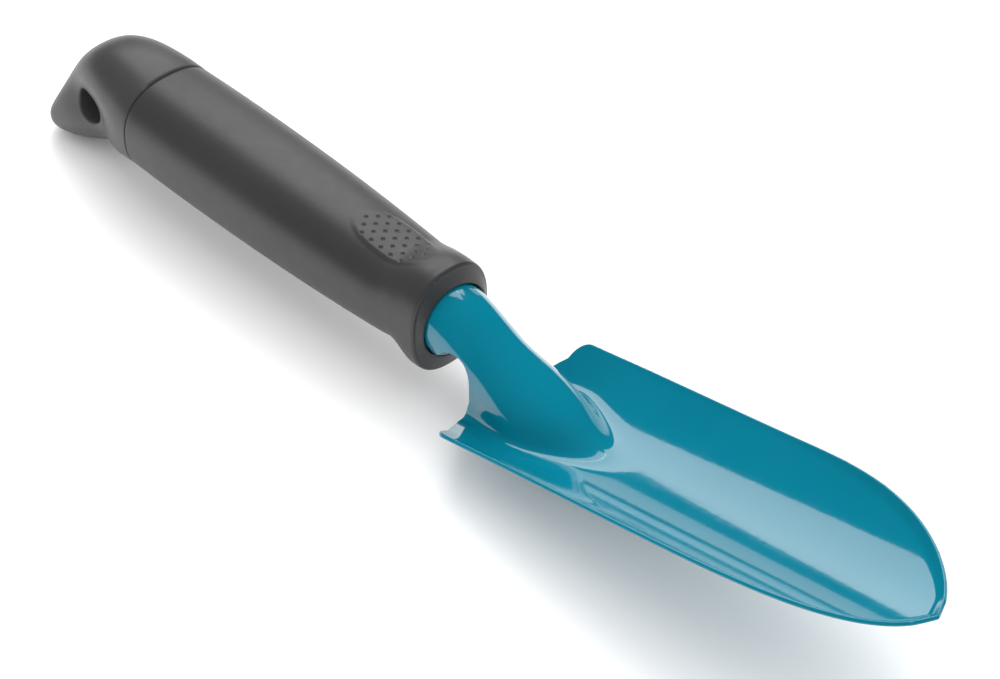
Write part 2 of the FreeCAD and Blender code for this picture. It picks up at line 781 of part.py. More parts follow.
def build_cap():
    """End cap: moulded outside, hollow spigot that goes into the core, hang hole."""
    along_axis = Rotation(Vector(0, 1, 0), 90.0)
    across = Rotation(Vector(1, 0, 0), 90.0)
    outside = add_feature("cap_outside", cap_outside())
    overlap = 2.0
    spigot = add_cylinder("cap_spigot", "sizes.spigot_radius", "sizes.spigot_length + %g" % overlap,
                          Placement(Vector(SEAM - overlap, 0, 0), along_axis))
    solid = doc.addObject("Part::Fuse", "cap_solid")
    solid.Base, solid.Tool = outside, spigot
    hollow = add_cylinder("cap_hollow", "sizes.spigot_radius - sizes.spigot_wall",
                          "sizes.spigot_length + sizes.hollow_deep + %g" % overlap,
                          Placement(Vector(SEAM - size("hollow_deep"), 0, 0), along_axis))
    cored = doc.addObject("Part::Cut", "cap_cored")
    cored.Base, cored.Tool = solid, hollow
    reach = 30.0
    hole = add_cylinder("hang_hole", "sizes.hole_radius", "%g" % (2.0 * reach),
                        Placement(Vector(-size("hole_back"), reach, -size("hole_drop")), across))
    cap = doc.addObject("Part::Cut", "cap_body")
    cap.Base, cap.Tool = cored, hole
    doc.recompute()
    return cap


pieces = [
    finish(add_feature("blade_sheet", blade_shape()), "blade"),
    finish(build_core(), "grip_core"),
    finish(add_feature("sleeve_body", sleeve_shape()), "grip_sleeve"),
    finish(build_cap(), "end_cap"),
]
doc.recompute()

for item in doc.Objects:
    if "Invalid" in item.State or "Error" in item.State:
        raise SystemExit("failed object: " + item.Label)
for piece in pieces:
    if piece.Shape.isNull() or not piece.Shape.isValid() or len(piece.Shape.Solids) != 1:
        raise SystemExit("bad shape: " + piece.Label)

os.makedirs("parts", exist_ok=True)
for piece in pieces:
    piece.Shape.exportStep("parts/%s.step" % piece.Label)
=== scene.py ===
import math
import bpy
import numpy as np
from mathutils import Matrix, Vector


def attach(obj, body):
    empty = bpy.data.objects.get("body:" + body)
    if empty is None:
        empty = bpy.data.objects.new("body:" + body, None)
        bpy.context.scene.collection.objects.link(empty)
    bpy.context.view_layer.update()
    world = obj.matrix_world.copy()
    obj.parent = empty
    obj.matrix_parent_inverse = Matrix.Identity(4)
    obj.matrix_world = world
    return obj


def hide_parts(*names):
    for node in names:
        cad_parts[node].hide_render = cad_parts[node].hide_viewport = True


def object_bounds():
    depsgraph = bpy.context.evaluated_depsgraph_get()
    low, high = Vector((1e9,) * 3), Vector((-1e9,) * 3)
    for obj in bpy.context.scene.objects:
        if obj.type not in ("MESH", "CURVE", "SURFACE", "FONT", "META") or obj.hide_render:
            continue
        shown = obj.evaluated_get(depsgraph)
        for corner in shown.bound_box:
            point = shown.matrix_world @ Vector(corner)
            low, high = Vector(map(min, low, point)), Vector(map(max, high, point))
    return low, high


# Hand trowel: the visible pieces, built as meshes over the CAD frame.
# Shapes are worked out in millimetres in the handle's own frame: the origin is on the handle's
# axis at the mouth where the blade's neck comes out, +X runs to the blade's tip, +Z is up.
# to_frame() turns that into the row's frame, whose origin is the middle of the hang hole.

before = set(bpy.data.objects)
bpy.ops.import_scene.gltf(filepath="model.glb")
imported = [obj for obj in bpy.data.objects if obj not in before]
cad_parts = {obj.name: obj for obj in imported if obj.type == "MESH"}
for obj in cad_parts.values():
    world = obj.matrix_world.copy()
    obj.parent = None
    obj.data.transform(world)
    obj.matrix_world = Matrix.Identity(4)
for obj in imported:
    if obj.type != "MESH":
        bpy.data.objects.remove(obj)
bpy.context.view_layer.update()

MM = 0.001
QUARTER = 0.5 * math.pi
ELLIPSE = 2.0
NO_LENGTH = 1e-12

HOLE_BACK = 142.0
HOLE_DROP = 4.5
HOLE_RADIUS = 5.2

# ---------------------------------------------------------------- the pressed sheet's shape

THICK = 1.15
TUBE = 10.28
TANG_LENGTH = 72.0
SLIT_HALF_ANGLE = math.radians(3.0)
PITCH = math.radians(11.85)
HEEL_X = 27.1
HEEL_Z = -17.5
BLADE_LENGTH = 145.4
BLADE_HALF = 26.3
GUTTER_RISE = 10.4
GUTTER_HALF = 28.1
GUTTER_POWER = 2.23

# The neck's top is level in the handle, then bends down, flattens along the ridge and dips at its
# nose: each bend has its place, its softness and its change of slope.
CREST_IN_HANDLE = 10.05
CREST_BENDS = ((5.0, 3.0, -0.5), (22.0, 4.0, 0.235), (48.0, 4.0, -0.3))

RIDGE_WIDENS = 1.6
WIDER_FROM = 18.0
WIDER_AT = 33.0
RIDGE_NARROWS = 4.0
NARROWER_FROM = 35.0
NARROWER_AT = 60.0
RIDGE_END = 70.0
FILLET_REACH = 7.0


def to_frame(points):
    """Millimetres in the handle's frame to metres in the row's frame."""
    return (np.asarray(points) + (HOLE_BACK, 0.0, HOLE_DROP)) * MM


def smooth_step(u):
    """Goes from 0 to 1 with level ends as u goes from 0 to 1."""
    u = np.clip(u, 0.0, 1.0)
    return u * u * (3.0 - 2.0 * u)


def soft_bend(x, start, softness):
    """A line that is level before start and climbs one to one after it, with a soft corner."""
    largest_power = 60.0
    return softness * np.log1p(np.exp(np.minimum((x - start) / softness, largest_power)))


def crest(x):
    """Height of the top of the neck and of the ridge that carries it into the scoop."""
    height = CREST_IN_HANDLE
    for start, softness, slope in CREST_BENDS:
        height = height + slope * soft_bend(x, start, softness)
    return height


def crest_slope(x):
    """Slope of the crest, from two stations close together."""
    step = 0.01
    return (crest(x + step) - crest(x - step)) / (2.0 * step)


def floor_height(x):
    """Bottom line of the scoop."""
    return HEEL_Z + (x - HEEL_X) * math.tan(PITCH)


def gutter_rise(y):
    """How far the scoop has risen above its bottom line at distance y from the middle."""
    return GUTTER_RISE * (np.abs(y) / GUTTER_HALF) ** GUTTER_POWER


def ridge_half_width(x):
    """As wide as the tube at the neck, a little wider ahead of it, narrower at the nose."""
    wider = RIDGE_WIDENS * smooth_step((x - WIDER_FROM) / (WIDER_AT - WIDER_FROM))
    narrower = RIDGE_NARROWS * smooth_step((x - NARROWER_FROM) / (NARROWER_AT - NARROWER_FROM))
    return TUBE + wider - narrower


def ridge_half_height(x):
    """The ridge is round square to its crest, so it is taller where the crest slopes."""
    return TUBE * np.hypot(1.0, crest_slope(x))


def soft_min(a, b, reach):
    """The smaller of a and b, with a rounded inside corner of the given reach."""
    near = np.maximum(reach - np.abs(a - b), 0.0) / reach
    return np.minimum(a, b) - near ** 3 * reach / 6.0


def outside(x, y, z):
    """Negative under the sheet's upper side, positive above it, roughly in millimetres."""
    least_y = 0.01
    run = gutter_rise(y) * GUTTER_POWER / np.maximum(y, least_y)
    from_gutter = (z - floor_height(x) - gutter_rise(y) / math.cos(PITCH)) / np.hypot(1.0, run)
    half_wide = ridge_half_width(x)
    half_high = ridge_half_height(x)
    up = z - (crest(x) - half_high)
    scale = np.minimum(half_wide, half_high)
    over = (np.hypot(y / half_wide, up / half_high) - 1.0) * scale
    beside = (y / half_wide - 1.0) * scale
    from_ridge = np.where(up > 0.0, over, beside)
    return np.where(x < RIDGE_END, soft_min(from_ridge, from_gutter, FILLET_REACH), from_gutter)


def pressed_section(x, reaches):
    """Upper side at station x: points at the given distances from the middle, along the section.

    The side is found along rays from an eye below the sheet, by halving.
    """
    past_rim, eye_depth, farthest = 2.0, 20.0, 80.0
    rays, halvings = 420, 34
    half_width = BLADE_HALF + past_rim
    eye = floor_height(x) - eye_depth
    rim = floor_height(x) + gutter_rise(half_width) / math.cos(PITCH)
    angle = np.linspace(0.0, math.atan2(half_width, rim - eye), rays)
    low = np.zeros_like(angle)
    high = np.full_like(angle, farthest)
    for _ in range(halvings):
        middle = 0.5 * (low + high)
        under = outside(x, middle * np.sin(angle), eye + middle * np.cos(angle)) < 0.0
        low = np.where(under, middle, low)
        high = np.where(under, high, middle)
    y = low * np.sin(angle)
    z = eye + low * np.cos(angle)
    along = np.concatenate([[0.0], np.cumsum(np.hypot(np.diff(y), np.diff(z)))])
    return np.interp(reaches, along, y), np.interp(reaches, along, z)


def rolled_section(x, reaches):
    """The same for the rolled neck and the tang."""
    tall = math.hypot(1.0, crest_slope(x))
    angle = np.minimum(reaches / TUBE, math.pi)
    return TUBE * np.sin(angle), crest(x) - TUBE * tall * (1.0 - np.cos(angle))


# ---------------------------------------------------------------- where the sheet is cut

NOTCH_X = 11.4
NOTCH_TOP = -7.4
NOTCH_LOW = -12.0
NOTCH_ROUND = 6.4
NOTCH_BACK_X = 8.2
NOTCH_BACK_Z = -10.5
UNDER_NECK_REACH = 5.9
UNDER_NECK_TOP = -14.0
OUTLINE_REAR = -90.0
NECK_HALF = 11.6
SHOULDER_BACK = 6.3
SHOULDER_DROP = 9.0
SHOULDER_POWER = 0.85
CORNER_X = 1.0
CORNER_ROUND = 5.0
OGIVE_START = 76.4
OGIVE_IN = 0.1
OGIVE_POWER = 0.69
POINT_START = 0.965
POINT_REACH = 0.4
EDGE_ROUND = 0.4
WELL_INSIDE = -9.0  # stands for "this cut doesn't reach here"

LIFT_GROWS_FROM = 80.0
LIFT_GROWS_OVER = 85.0
LIFT_STARTS_OVER = 25.0
LIFT_BAND = 0.9
LIFT_BAND_MORE = 1.5
LIFT_SLOPE = 0.3
LIFT_SLOPE_MORE = 0.35
LIFT_SOFTNESS = 0.22


def outline_points():
    """Half of the blade's outline, square to the floor: distance from the heel, half-width."""
    neck_end = CORNER_X - CORNER_ROUND - SHOULDER_BACK
    corner_y = BLADE_HALF - CORNER_ROUND
    points = [(OUTLINE_REAR, NECK_HALF), (neck_end, NECK_HALF)]
    for part in np.linspace(1.0, 0.0, 9):
        points.append((CORNER_X - CORNER_ROUND - SHOULDER_BACK * part ** SHOULDER_POWER,
                       corner_y - SHOULDER_DROP * part))
    for angle in np.linspace(math.pi, QUARTER, 9)[1:]:
        points.append((CORNER_X + CORNER_ROUND * math.cos(angle),
                       corner_y + CORNER_ROUND * math.sin(angle)))
    for part in 1.0 - np.linspace(1.0, math.sqrt(1.0 - POINT_START), 50) ** 2:
        along = OGIVE_START + (BLADE_LENGTH - OGIVE_START) * part
        points.append((along, (BLADE_HALF - OGIVE_IN) * (1.0 - part ** 3) ** OGIVE_POWER))
    points.append((BLADE_LENGTH + POINT_REACH, 0.0))
    return np.array(points)


OUTLINE = outline_points()


def past_outline(points):
    """Signed distance from the outline, positive outside it."""
    x, y, z = points[:, 0], np.abs(points[:, 1]), points[:, 2]
    along = (x - HEEL_X) * math.cos(PITCH) + (z - HEEL_Z) * math.sin(PITCH)
    nearest = np.full(len(points), np.inf)
    for (a0, y0), (a1, y1) in zip(OUTLINE[:-1], OUTLINE[1:]):
        da, dy = a1 - a0, y1 - y0
        length = da * da + dy * dy + NO_LENGTH
        part = np.clip(((along - a0) * da + (y - y0) * dy) / length, 0.0, 1.0)
        nearest = np.minimum(nearest, np.hypot(along - a0 - part * da, y - y0 - part * dy))
    half = np.interp(along, OUTLINE[:, 0], OUTLINE[:, 1], right=-1.0)
    return np.where(y < half, -nearest, nearest)


def past_cut(points):
    """Positive where the sheet is cut away: outline, notch beside the neck, slit, tang's end."""
    x, y, z = points.T
    outline = past_outline(points)
    notch = NOTCH_ROUND - np.hypot(x - NOTCH_X, z - np.clip(z, NOTCH_LOW, NOTCH_TOP))
    notch = np.maximum(notch, NOTCH_ROUND - np.hypot(x - NOTCH_BACK_X, z - NOTCH_BACK_Z))
    under_neck = np.minimum(NOTCH_X + UNDER_NECK_REACH - x, UNDER_NECK_TOP - z)
    under_neck = np.where(x > NOTCH_X, under_neck, WELL_INSIDE)
    centre = crest(x) - TUBE * np.hypot(1.0, crest_slope(x))
    turn = np.arctan2(np.abs(y), z - centre)
    slit = np.where(x <= NOTCH_X, (turn - math.pi + SLIT_HALF_ANGLE) * TUBE, WELL_INSIDE)
    tang_end = -TANG_LENGTH - x
    return np.maximum.reduce([outline, notch, under_neck, slit, tang_end])


def rim_lift(points):
    """Height by which the last two millimetres before the outline are turned up."""
    x = points[:, 0]
    tipward = smooth_step((x - LIFT_GROWS_FROM) / LIFT_GROWS_OVER)
    band = LIFT_BAND + LIFT_BAND_MORE * tipward
    slope = LIFT_SLOPE + LIFT_SLOPE_MORE * tipward
    lift = slope * soft_bend(band + past_outline(points), 0.0, LIFT_SOFTNESS)
    return np.where(x > HEEL_X, lift * smooth_step((x - HEEL_X) / LIFT_STARTS_OVER), 0.0)


# ---------------------------------------------------------------- meshes

def make_object(name, points, faces, normals=None):
    """A smooth mesh object from points in the handle's frame."""
    mesh = bpy.data.meshes.new(name)
    mesh.from_pydata(to_frame(points).tolist(), [], faces)
    mesh.update()
    mesh.polygons.foreach_set("use_smooth", [True] * len(mesh.polygons))
    if normals is not None:
        mesh.normals_split_custom_set_from_vertices(normals.tolist())
    piece = bpy.data.objects.new(name, mesh)
    bpy.context.scene.collection.objects.link(piece)
    return piece


def unit(vectors):
    """The same directions with length 1."""
    return vectors / np.maximum(np.linalg.norm(vectors, axis=-1, keepdims=True), NO_LENGTH)


def quarter_turns(count):
    """Angles from 0 to a quarter of a turn, both included."""
    return np.linspace(0.0, QUARTER, count)


def edge_profile(thick, radius):
    """Rounded edge of a sheet: (out, down, lean out) from the upper side to the under side."""
    upper = []
    for turn in quarter_turns(5)[1:]:
        upper.append((radius * math.sin(turn), radius * (1.0 - math.cos(turn)), turn))
    lower = [(out, thick - down, math.pi - lean) for out, down, lean in reversed(upper)]
    return upper + lower


def grid_cells(rows, columns):
    """Corner numbers of every cell of a grid of points."""
    index = np.arange(rows * columns).reshape(rows, columns)
    corners = [index[:-1, :-1], index[1:, :-1], index[1:, 1:], index[:-1, 1:]]
    return np.stack(corners, -1).reshape(-1, 4)


def cut_cells(flat, flat_normals, value, cells):
    """Keeps the part of each cell where value is negative.

    Gives the faces, all points and normals with those on the cut added, and the cut's edges.
    """
    inside = value < 0.0
    filled = inside[cells].sum(axis=1)
    faces = cells[filled == 4].tolist()
    crossings = {}
    extra_points, extra_normals, rim = [], [], []

    def between(values, first, second):
        part = value[first] / (value[first] - value[second])
        return values[first] + part * (values[second] - values[first])

    def crossing(a, b):
        first, second = min(a, b), max(a, b)
        if (first, second) not in crossings:
            crossings[first, second] = len(flat) + len(extra_points)
            extra_points.append(between(flat, first, second))
            extra_normals.append(between(flat_normals, first, second))
        return crossings[first, second]

    for cell in cells[(filled > 0) & (filled < 4)].tolist():
        face, leaves = [], []
        for a, b in zip(cell, cell[1:] + cell[:1]):
            if inside[a]:
                face.append(a)
                leaves.append(False)
            if inside[a] != inside[b]:
                face.append(crossing(a, b))
                leaves.append(bool(inside[a]))
        for at in np.flatnonzero(leaves):
            rim.append((face[at], face[(at + 1) % len(face)]))
        faces.append(face)
    return faces, np.vstack([flat, extra_points]), unit(np.vstack([flat_normals, extra_normals])), rim


def way_out(edge, edge_normals, allowed):
    """Directions in the sheet's surface that lead out over its edge."""
    step = 0.05
    slope = np.zeros_like(edge)
    for axis in range(3):
        move = np.zeros(3)
        move[axis] = step
        slope[:, axis] = allowed(edge + move) - allowed(edge - move)
    slope -= np.sum(slope * edge_normals, axis=1, keepdims=True) * edge_normals
    return unit(slope)


def edge_faces(rim, total, first_extra, rings):
    """Faces round the sheet's edge, from the upper side over the rings to the under side."""
    def chain(corner):
        ring_size = total - first_extra
        over = [2 * total + ring * ring_size + corner - first_extra for ring in range(rings)]
        return [corner] + over + [corner + total]

    faces = []
    for a, b in rim:
        chain_a, chain_b = chain(a), chain(b)
        for at in range(len(chain_a) - 1):
            faces.append([chain_b[at], chain_a[at], chain_a[at + 1], chain_b[at + 1]])
    return faces


def drop_unused(points, normals, faces):
    """The same mesh without the points that no face uses."""
    used = np.zeros(len(points), dtype=bool)
    for face in faces:
        used[face] = True
    number = np.cumsum(used) - 1
    renumbered = [[int(number[corner]) for corner in face] for face in faces]
    return points[used], unit(normals[used]), renumbered


def sheet_from_grid(grid, allowed, thick, radius):
    """Closed sheet: the part of a grid of points where allowed() is negative, with round edges."""
    # a point of the grid this near to the cut would leave a sliver, so it counts as inside
    too_near = 0.03
    rows, columns = grid.shape[:2]
    grid_normals = unit(np.cross(np.gradient(grid, axis=0), np.gradient(grid, axis=1)))
    flat = grid.reshape(-1, 3)
    value = allowed(flat) + radius
    value = np.where(np.abs(value) < too_near, -too_near, value)
    faces, points, normals, rim = cut_cells(
        flat, grid_normals.reshape(-1, 3), value, grid_cells(rows, columns))

    total, first_extra = len(points), len(flat)
    edge, edge_normals = points[first_extra:], normals[first_extra:]
    out = way_out(edge, edge_normals, allowed)
    profile = edge_profile(thick, radius)
    all_points = [points, points - normals * thick]
    all_normals = [normals, -normals]
    for reach, down, lean in profile:
        all_points.append(edge + out * reach - edge_normals * down)
        all_normals.append(edge_normals * math.cos(lean) + out * math.sin(lean))
    under = [[corner + total for corner in reversed(face)] for face in faces]
    faces = faces + under + edge_faces(rim, total, first_extra, len(profile))
    return drop_unused(np.vstack(all_points), np.vstack(all_normals), faces)


def blade_stations():
    """Rows of the blade's grid, closest where the sheet bends and where the point narrows."""
    return np.concatenate([
        np.linspace(-TANG_LENGTH - 1.0, -12.0, 16),
        np.arange(-11.0, 5.0, 1.0),
        np.arange(5.0, 66.0, 0.5),
        np.arange(66.0, 140.0, 1.0),
        np.arange(140.0, 171.5, 0.5)])


def blade_grid():
    """Points of the sheet's upper side: rows along the tool, columns across it."""
    widest_reach, across_step = 52.0, 0.55
    reaches = np.arange(0.0, widest_reach, across_step)
    rows = []
    for x in blade_stations():
        section = rolled_section if x <= NOTCH_X else pressed_section
        y, z = section(x, reaches)
        half = np.stack([np.full_like(y, x), y, z], axis=-1)
        other = half[:0:-1] * (1.0, -1.0, 1.0)
        rows.append(np.vstack([other, half]))
    grid = np.array(rows)
    grid[:, :, 2] += rim_lift(grid.reshape(-1, 3)).reshape(grid.shape[:2])
    return grid


def build_blade():
    """Pressed scoop, neck and tang as one closed sheet."""
    points, normals, faces = sheet_from_grid(blade_grid(), past_cut, THICK, EDGE_ROUND)
    return make_object("painted_blade", points, faces, normals)


# ---------------------------------------------------------------- the handle's shape

SEAM = -117.9
SEAM_GAP = 0.3
SEAM_ROUND = 0.4
GRIP_ROUND = 2.4
GRIP_FLATNESS = 0.88
GRIP_FULLEST = -96.0
GRIP_FULL_HIGH = 14.5
GRIP_SEAM_HIGH = 14.25
GRIP_WAIST = -11.0
GRIP_WAIST_HIGH = 12.05
WAIST_POWER = 2.2
LAST_WAIST = -8.0
LIP_FLARE_TOP = 3.8
TOP_FLARE_START = -18.0
TOP_FLARE_LENGTH = 14.5
LIP_FLARE_LOW = 5.6
LOW_FLARE_START = -12.0
LOW_FLARE_LENGTH = 8.5
LIP_EDGE = -1.3
LIP_ROUND = 1.1
FACE_DEPTH = 1.6
MOUTH_GAP = 0.25
MOUTH_ROUND = 0.5
PAD_MIDDLE = -22.0
PAD_HALF_LONG = 16.5
PAD_HALF_WIDE = 7.4
PAD_POWER = 1.15
PAD_EDGE = 0.2
PAD_RAISE = 0.12
PAD_FLATNESS = 0.38
DIMPLE_REACH = 0.55
DIMPLE_EDGE = 0.6
DIMPLE_DEEP = 0.3
DIMPLE_PITCH = 2.5
DIMPLE_ROW_PITCH = 3.85
DIMPLES_HALF_LONG = PAD_HALF_LONG - 3.6
DIMPLES_HALF_WIDE = PAD_HALF_WIDE - 0.5
CORE_FRONT = -7.95
CORE_HALF_WIDE = 12.95
CORE_HALF_HIGH = 11.35


def ring(top, low, half_wide, power, angles):
    """A closed rounded section between a top point and a bottom point of the side view.

    A higher power than the ellipse's makes it squarer.
    """
    cosine, sine = np.cos(angles), np.sin(angles)
    across = np.sign(cosine) * np.abs(cosine) ** (2.0 / power)
    up = np.sign(sine) * np.abs(sine) ** (2.0 / power)
    middle_x, middle_z = 0.5 * (top[0] + low[0]), 0.5 * (top[1] + low[1])
    return np.stack([middle_x + up * (top[0] - middle_x), half_wide * across,
                     middle_z + up * (top[1] - middle_z)], axis=-1)


def grip_half_height(x):
    """The grip swells behind the waist and draws in a little at the seam."""
    if x < GRIP_FULLEST:
        to_seam = (GRIP_FULLEST - x) / (GRIP_FULLEST - SEAM)
        return GRIP_FULL_HIGH - (GRIP_FULL_HIGH - GRIP_SEAM_HIGH) * to_seam ** 2
    to_waist = (x - GRIP_FULLEST) / (GRIP_WAIST - GRIP_FULLEST)
    return GRIP_FULL_HIGH - (GRIP_FULL_HIGH - GRIP_WAIST_HIGH) * to_waist ** WAIST_POWER


def grip_ring(x, angles):
    """Ring of the grip's outside at x, with the finger stop's flare and round edge."""
    past_edge = max(x - LIP_EDGE, 0.0)
    inset = LIP_ROUND - math.sqrt(max(LIP_ROUND ** 2 - past_edge ** 2, 0.0))
    high = grip_half_height(x) - inset
    top = high + LIP_FLARE_TOP * float(smooth_step((x - TOP_FLARE_START) / TOP_FLARE_LENGTH))
    low = high + LIP_FLARE_LOW * float(smooth_step((x - LOW_FLARE_START) / LOW_FLARE_LENGTH))
    wide = grip_half_height(min(x, LAST_WAIST)) / GRIP_FLATNESS - inset
    return ring((x, top), (x, -low), wide, GRIP_ROUND, angles)


def dimple_middles():
    """Middles of the pad's dimples, each line half a pitch on from its neighbour."""
    middles = []
    for column in range(-2, 3):
        for row in range(-4, 4):
            along = (row + 0.5 * (column % 2)) * DIMPLE_ROW_PITCH
            across = column * DIMPLE_PITCH
            if math.hypot(along / DIMPLES_HALF_LONG, across / DIMPLES_HALF_WIDE) <= 1.0:
                middles.append((along, across))
    return middles


def pad_lift(points, top):
    """Height of the flattened thumb pad over the grip, less its diamond dimples."""
    along = points[:, 0] - PAD_MIDDLE
    across = points[:, 1]
    oval = np.hypot(np.abs(along / PAD_HALF_LONG) ** PAD_POWER, across / PAD_HALF_WIDE)
    inside = smooth_step((1.0 - oval) / PAD_EDGE)
    raised = inside * (PAD_RAISE + PAD_FLATNESS * (top - points[:, 2]))
    pits = np.zeros(len(points))
    for middle_along, middle_across in dimple_middles():
        reach = np.abs(along - middle_along) + np.abs(across - middle_across)
        pit = smooth_step((DIMPLE_REACH + 0.5 * DIMPLE_EDGE - reach) / DIMPLE_EDGE)
        pits = np.maximum(pits, pit)
    return np.where(points[:, 2] > 0.0, raised - DIMPLE_DEEP * pits, 0.0)


def band_faces(first, second, count):
    """Quads between two closed rings that start at these indices."""
    faces = []
    for at in range(count):
        after = (at + 1) % count
        faces.append([first + at, first + after, second + after, second + at])
    return faces


def closed_rings_to_faces(total, count):
    """Quads over a row of rings whose last joins the first."""
    faces = []
    for at in range(total):
        faces += band_faces(at * count, (at + 1) % total * count, count)
    return faces


def grip_angles():
    """Angles round the grip, close together over the thumb pad."""
    nominal_half_wide, fine_half_wide, fine_step = 16.0, 9.0, 0.26
    fine_y = np.arange(-fine_half_wide, fine_half_wide + 0.1, fine_step)
    shares = np.sign(fine_y) * (np.abs(fine_y) / nominal_half_wide) ** (0.5 * GRIP_ROUND)
    fine = np.arccos(shares)
    coarse = np.linspace(fine.max(), fine.min() + 2.0 * math.pi, 90)[1:-1]
    return np.concatenate([np.sort(fine), coarse])


def tube_ring(x, radius, angles):
    """Ring round the rolled neck at x, square to the tool."""
    tall = math.hypot(1.0, crest_slope(x))
    centre = crest(x) - TUBE * tall
    return np.stack([np.full_like(angles, x), radius * np.cos(angles),
                     centre + radius * tall * np.sin(angles)], axis=-1)


def sleeve_rear_edge(rear, angles):
    """Rings of the small round on the sleeve's rear edge, from the seam's face out."""
    half_wide = 16.0
    rings = []
    for turn in quarter_turns(5)[:-1]:
        edge = grip_ring(rear, angles)
        edge[:, 0] = rear + SEAM_ROUND * (1.0 - math.sin(turn))
        edge[:, 1:] *= 1.0 - SEAM_ROUND * (1.0 - math.cos(turn)) / half_wide
        rings.append(edge)
    return rings[::-1]


def sleeve_outside(rear, angles):
    """Rings of the grip's outside, closest over the thumb pad and round the lip's edge."""
    pad_step, flare_step, most_of_lip = 0.28, 0.35, 0.985
    stations = np.concatenate([
        [rear + 0.45],
        np.linspace(rear + 1.2, -40.0, 43),
        np.arange(-39.6, GRIP_WAIST, pad_step),
        np.arange(GRIP_WAIST, LIP_EDGE, flare_step),
        LIP_EDGE + most_of_lip * LIP_ROUND * np.sin(quarter_turns(9))])
    rings = []
    for x in stations:
        points = grip_ring(x, angles)
        points[:, 2] += pad_lift(points, points[:, 2].max())
        rings.append(points)
    return rings


def sleeve_front(lip, angles):
    """Rings of the hollow front face and of the round edge where the neck comes out."""
    deepest = lip[0, 0] + FACE_DEPTH
    widest = TUBE + (MOUTH_GAP + MOUTH_ROUND)
    mouth = tube_ring(deepest, widest, angles)
    rings = [lip + part * (mouth - lip) for part in (0.12, 0.3, 0.5, 0.7, 0.88, 1.0)]
    for turn in quarter_turns(5)[1:]:
        back = MOUTH_ROUND * (1.0 - math.cos(turn))
        rings.append(tube_ring(deepest - back, widest - MOUTH_ROUND * math.sin(turn), angles))
    return rings


def sleeve_inside(rear, angles):
    """Rings of the neck's opening and of the space for the core."""
    rings = [tube_ring(x, TUBE + MOUTH_GAP, angles) for x in (-2.0, -5.0, CORE_FRONT)]
    for x in (CORE_FRONT, rear):
        rings.append(ring((x, CORE_HALF_HIGH), (x, -CORE_HALF_HIGH), CORE_HALF_WIDE, ELLIPSE, angles))
    return rings


def build_sleeve():
    """Soft outer grip: outside, lip, front face, neck opening and the space for the core."""
    angles = grip_angles()
    rear = SEAM + 0.5 * SEAM_GAP
    rings = sleeve_rear_edge(rear, angles) + sleeve_outside(rear, angles)
    rings += sleeve_front(rings[-1], angles)
    rings += sleeve_inside(rear, angles)
    return make_object("soft_grip", np.vstack(rings), closed_rings_to_faces(len(rings), len(angles)))


# ---------------------------------------------------------------- end cap

SPIGOT_RADIUS = 9.85
SPIGOT_LENGTH = 17.0
SPIGOT_WALL = 1.8
HOLLOW_DEEP = 10.0
CAP_NARROWS = 4.3
CAP_NARROWS_OVER = 0.95
CAP_BLUNT = 0.85
CAP_KNOTS = (0.0, 0.3, 0.6, 0.85, 1.0)
CAP_TAIL = (-165.4, -19.9)
CAP_TOP = ((SEAM, GRIP_SEAM_HIGH), (-129.0, 15.6), (-147.5, 9.8), (-159.7, -8.5), CAP_TAIL)
CAP_UNDER = ((SEAM, -GRIP_SEAM_HIGH), (-130.5, -16.1), (-138.0, -17.2), (-156.5, -23.9), CAP_TAIL)
DISH_SHARE = 0.28
DISH_HALF_LONG = 11.5
DISH_HALF_HIGH = 7.6
DISH_RAISE = 0.8
HOLE_EDGE = 0.8
PATCH_REACH = 8.6


def natural_spline(knots, values):
    """A smooth curve through the values, as a function of the part along the knots."""
    knots, values = np.array(knots), np.array(values, dtype=float)
    gaps = np.diff(knots)
    count = len(knots)
    matrix, right = np.eye(count), np.zeros((count, values.shape[1]))
    for at in range(1, count - 1):
        matrix[at, at - 1:at + 2] = (gaps[at - 1], 2.0 * (gaps[at - 1] + gaps[at]), gaps[at])
        rise = (values[at + 1] - values[at]) / gaps[at]
        fall = (values[at] - values[at - 1]) / gaps[at - 1]
        right[at] = 6.0 * (rise - fall)
    bend = np.linalg.solve(matrix, right)

    def curve(part):
        at = int(np.clip(np.searchsorted(knots, part) - 1, 0, count - 2))
        a = (knots[at + 1] - part) / gaps[at]
        b = 1.0 - a
        cubic = ((a ** 3 - a) * bend[at] + (b ** 3 - b) * bend[at + 1]) * gaps[at] ** 2 / 6.0
        return a * values[at] + b * values[at + 1] + cubic
    return curve


cap_top = natural_spline(CAP_KNOTS, CAP_TOP)
cap_under = natural_spline(CAP_KNOTS, CAP_UNDER)


def cap_half_width(part):
    """The cap narrows towards its tail and closes there with an elliptic end."""
    narrowing = CAP_NARROWS * float(smooth_step(part / CAP_NARROWS_OVER))
    wide = GRIP_SEAM_HIGH / GRIP_FLATNESS - narrowing
    if part > CAP_BLUNT:
        wide *= math.sqrt(max(1.0 - ((part - CAP_BLUNT) / (1.0 - CAP_BLUNT)) ** 2, 0.0))
    return wide


def dish(points):
    """Draws the cap's sides in round the hang hole."""
    along = (points[:, 0] + HOLE_BACK) / DISH_HALF_LONG
    up = (points[:, 2] + HOLE_DROP - DISH_RAISE) / DISH_HALF_HIGH
    dished = points.copy()
    dished[:, 1] *= 1.0 - DISH_SHARE * np.exp(-along ** 2 - up ** 2)
    return dished


